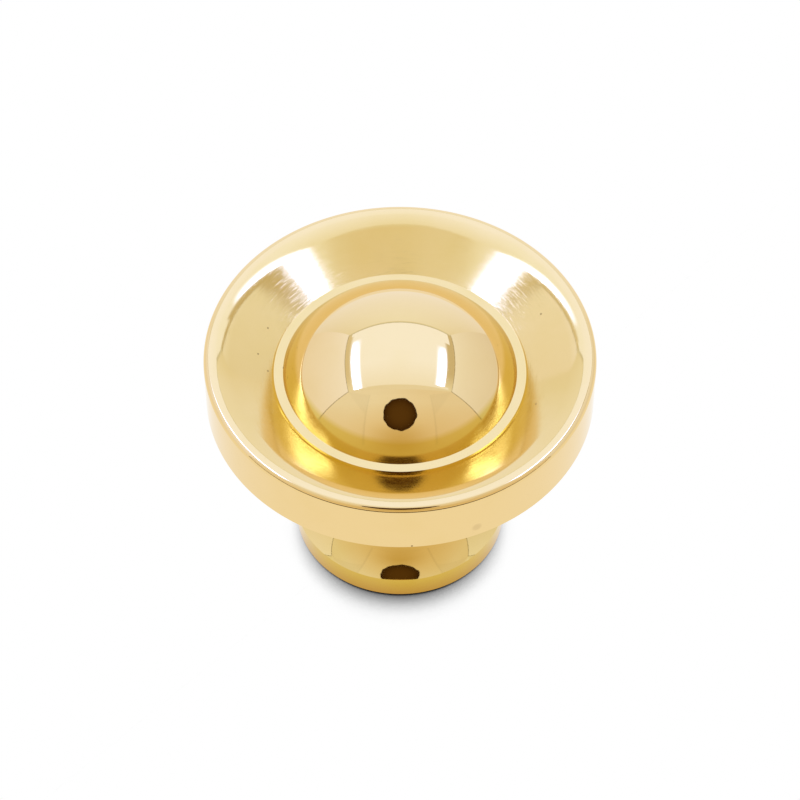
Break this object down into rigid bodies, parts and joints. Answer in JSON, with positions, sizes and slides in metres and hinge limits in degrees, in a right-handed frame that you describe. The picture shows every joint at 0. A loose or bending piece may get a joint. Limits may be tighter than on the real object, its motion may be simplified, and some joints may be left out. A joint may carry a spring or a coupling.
{
  "type": "cabinet knob",
  "caption": "Round turned brass cabinet knob with a domed centre in a dished head, a waisted neck and a flared foot with a tapped screw hole, for pulling a door or drawer open.",
  "frame": {"origin": "centre of the foot's flat face, at the mouth of the screw hole", "axes": "+Z along the knob's axis, from the foot to the dome; X and Y are free because the knob is round"},
  "size_m": [0.0382, 0.0382, 0.0296],
  "materials": {
    "polished_brass": "polished, unlacquered look"
  },
  "bodies": {
    "root": {"knob": "polished_brass"}
  },
  "joints": []
}
